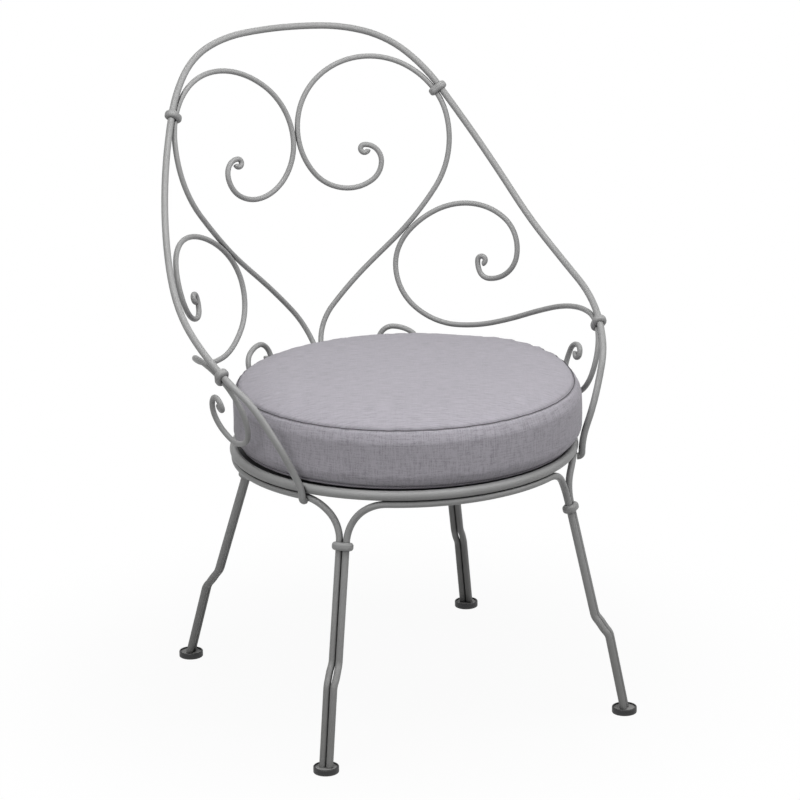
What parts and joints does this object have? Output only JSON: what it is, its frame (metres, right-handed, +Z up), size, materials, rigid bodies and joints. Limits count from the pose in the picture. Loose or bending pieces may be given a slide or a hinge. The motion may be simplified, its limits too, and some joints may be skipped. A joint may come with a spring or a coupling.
{
  "type": "garden armchair",
  "caption": "Garden armchair of bent steel rod with a scrolled back and arms, splayed rod legs on glides and a loose round seat cushion.",
  "frame": {"origin": "on the floor under the middle of the whole object's box", "axes": "+X to the right seen from the front, the front faces -Y, +Z up"},
  "size_m": [0.6296, 0.6668, 0.929],
  "materials": {
    "frame_paint": "fine-textured powder coat, mid grey",
    "foot_plate": "powder coat, mid grey",
    "glide": "black moulded",
    "cover": "woven heather, grey lilac",
    "welt": "woven cord cover, grey lilac",
    "seam": "sewn seam",
    "foam": "open-cell foam",
    "zip_tape": "zip tape",
    "zip_metal": "painted zip slider"
  },
  "bodies": {
    "frame": {"elbow_collar_left": "frame_paint", "elbow_collar_right": "frame_paint", "foot_plate_back_left": "foot_plate", "foot_plate_back_right": "foot_plate", "foot_plate_front_left": "foot_plate", "foot_plate_front_right": "foot_plate", "glide_back_left": "glide", "glide_back_right": "glide", "glide_front_left": "glide", "glide_front_right": "glide", "heart_scroll_left": "frame_paint", "heart_scroll_right": "frame_paint", "leg_collar_back_left": "frame_paint", "leg_collar_back_right": "frame_paint", "leg_collar_front_left": "frame_paint", "leg_collar_front_right": "frame_paint", "leg_hoop_back": "frame_paint", "leg_hoop_front": "frame_paint", "leg_hoop_left": "frame_paint", "leg_hoop_right": "frame_paint", "outer_hoop": "frame_paint", "seat_pan": "frame_paint", "seat_ring": "frame_paint", "side_scroll_left": "frame_paint", "side_scroll_right": "frame_paint", "top_collar_left": "frame_paint", "top_collar_right": "frame_paint"},
    "cushion": {"cushion_band": "cover", "cushion_base_panel": "cover", "cushion_base_welt": "welt", "cushion_foam": "foam", "cushion_top_panel": "cover", "cushion_top_seam": "seam", "cushion_zip": "zip_tape"},
    "zip_slider": {"cushion_zip_slider": "zip_metal"}
  },
  "joints": [
    {"name": "cushion_lift", "type": "slide", "parent": "frame", "child": "cushion", "axis": [0, 0, 1], "range_m": [0, 0.2]},
    {"name": "zip_run", "type": "hinge", "parent": "cushion", "child": "zip_slider", "pos_m": [0.004, -0.08138, 0.43098], "axis": [0, 0, 1], "range_deg": [0, 60]}
  ]
}
